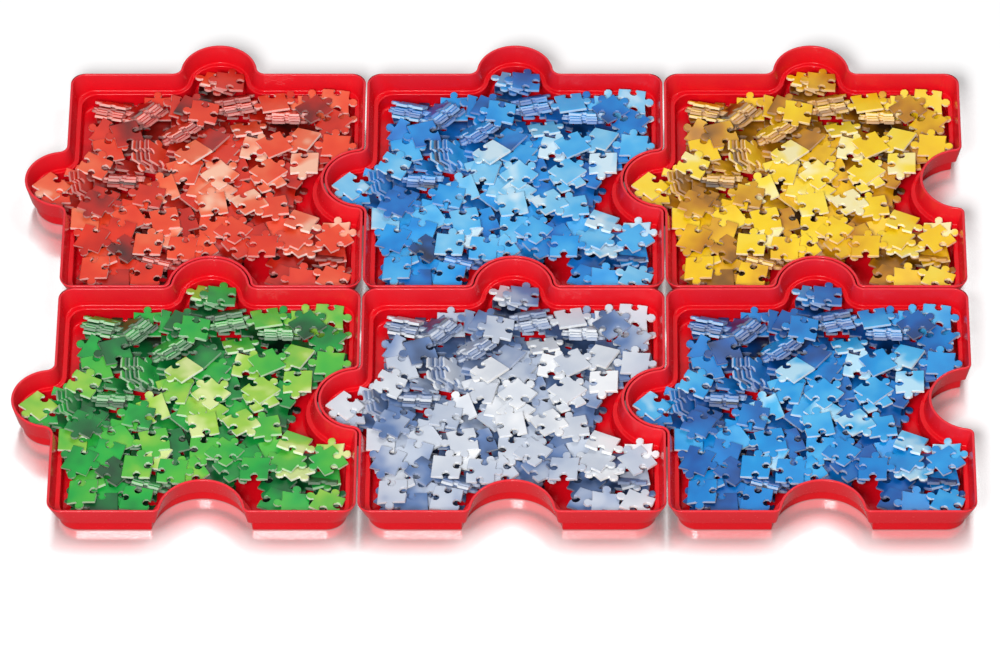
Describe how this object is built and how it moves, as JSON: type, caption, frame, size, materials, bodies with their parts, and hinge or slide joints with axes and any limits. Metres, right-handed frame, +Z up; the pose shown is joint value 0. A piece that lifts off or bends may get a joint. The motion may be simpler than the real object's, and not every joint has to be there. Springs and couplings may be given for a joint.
{
  "type": "jigsaw puzzle sorting trays",
  "caption": "Interlocking jigsaw-shaped plastic trays with flared walls and a stacking ledge, each filled with loose jigsaw pieces sorted by colour.",
  "frame": {"origin": "under the middle of the trays, on the surface that they stand on", "axes": "+X along a row of three trays, +Y towards the row behind, +Z up"},
  "size_m": [0.6266, 0.4264, 0.025],
  "materials": {
    "red_plastic": "gloss",
    "printed_card_green": "satin",
    "printed_card_silver": "satin",
    "printed_card_blue": "satin",
    "printed_card_red": "satin",
    "printed_card_sky": "satin",
    "printed_card_yellow": "satin"
  },
  "bodies": {
    "tray_front_left": {"tray_front_left": "red_plastic"},
    "heap_green": {"pile_green": "printed_card_green", "flat_pieces_green": "printed_card_green", "corner_piece_green": "printed_card_green", "tab_pieces_green": "printed_card_green", "leaning_pieces_green": "printed_card_green"},
    "tray_front_middle": {"tray_front_middle": "red_plastic"},
    "heap_silver": {"pile_silver": "printed_card_silver", "flat_pieces_silver": "printed_card_silver", "corner_piece_silver": "printed_card_silver", "tab_pieces_silver": "printed_card_silver", "leaning_pieces_silver": "printed_card_silver"},
    "tray_front_right": {"tray_front_right": "red_plastic"},
    "heap_blue": {"pile_blue": "printed_card_blue", "flat_pieces_blue": "printed_card_blue", "corner_piece_blue": "printed_card_blue", "tab_pieces_blue": "printed_card_blue", "leaning_pieces_blue": "printed_card_blue"},
    "tray_back_left": {"tray_back_left": "red_plastic"},
    "heap_red": {"pile_red": "printed_card_red", "flat_pieces_red": "printed_card_red", "corner_piece_red": "printed_card_red", "tab_pieces_red": "printed_card_red", "leaning_pieces_red": "printed_card_red"},
    "tray_back_middle": {"tray_back_middle": "red_plastic"},
    "heap_sky": {"pile_sky": "printed_card_sky", "flat_pieces_sky": "printed_card_sky", "corner_piece_sky": "printed_card_sky", "tab_pieces_sky": "printed_card_sky", "leaning_pieces_sky": "printed_card_sky"},
    "tray_back_right": {"tray_back_right": "red_plastic"},
    "heap_yellow": {"pile_yellow": "printed_card_yellow", "flat_pieces_yellow": "printed_card_yellow", "corner_piece_yellow": "printed_card_yellow", "tab_pieces_yellow": "printed_card_yellow", "leaning_pieces_yellow": "printed_card_yellow"}
  },
  "joints": [
    {"name": "lift_tray_front_left", "type": "slide", "parent": "tray_back_left", "child": "tray_front_left", "axis": [0, 0, 1], "range_m": [0, 0.04]},
    {"name": "lift_heap_green", "type": "slide", "parent": "tray_front_left", "child": "heap_green", "axis": [0, 0, 1], "range_m": [0, 0.03]},
    {"name": "lift_tray_front_middle", "type": "slide", "parent": "tray_back_left", "child": "tray_front_middle", "axis": [0, 0, 1], "range_m": [0, 0.04]},
    {"name": "lift_heap_silver", "type": "slide", "parent": "tray_front_middle", "child": "heap_silver", "axis": [0, 0, 1], "range_m": [0, 0.03]},
    {"name": "lift_tray_front_right", "type": "slide", "parent": "tray_back_left", "child": "tray_front_right", "axis": [0, 0, 1], "range_m": [0, 0.04]},
    {"name": "lift_heap_blue", "type": "slide", "parent": "tray_front_right", "child": "heap_blue", "axis": [0, 0, 1], "range_m": [0, 0.03]},
    {"name": "lift_heap_red", "type": "slide", "parent": "tray_back_left", "child": "heap_red", "axis": [0, 0, 1], "range_m": [0, 0.03]},
    {"name": "lift_tray_back_middle", "type": "slide", "parent": "tray_back_left", "child": "tray_back_middle", "axis": [0, 0, 1], "range_m": [0, 0.04]},
    {"name": "lift_heap_sky", "type": "slide", "parent": "tray_back_middle", "child": "heap_sky", "axis": [0, 0, 1], "range_m": [0, 0.03]},
    {"name": "lift_tray_back_right", "type": "slide", "parent": "tray_back_left", "child": "tray_back_right", "axis": [0, 0, 1], "range_m": [0, 0.04]},
    {"name": "lift_heap_yellow", "type": "slide", "parent": "tray_back_right", "child": "heap_yellow", "axis": [0, 0, 1], "range_m": [0, 0.03]}
  ]
}
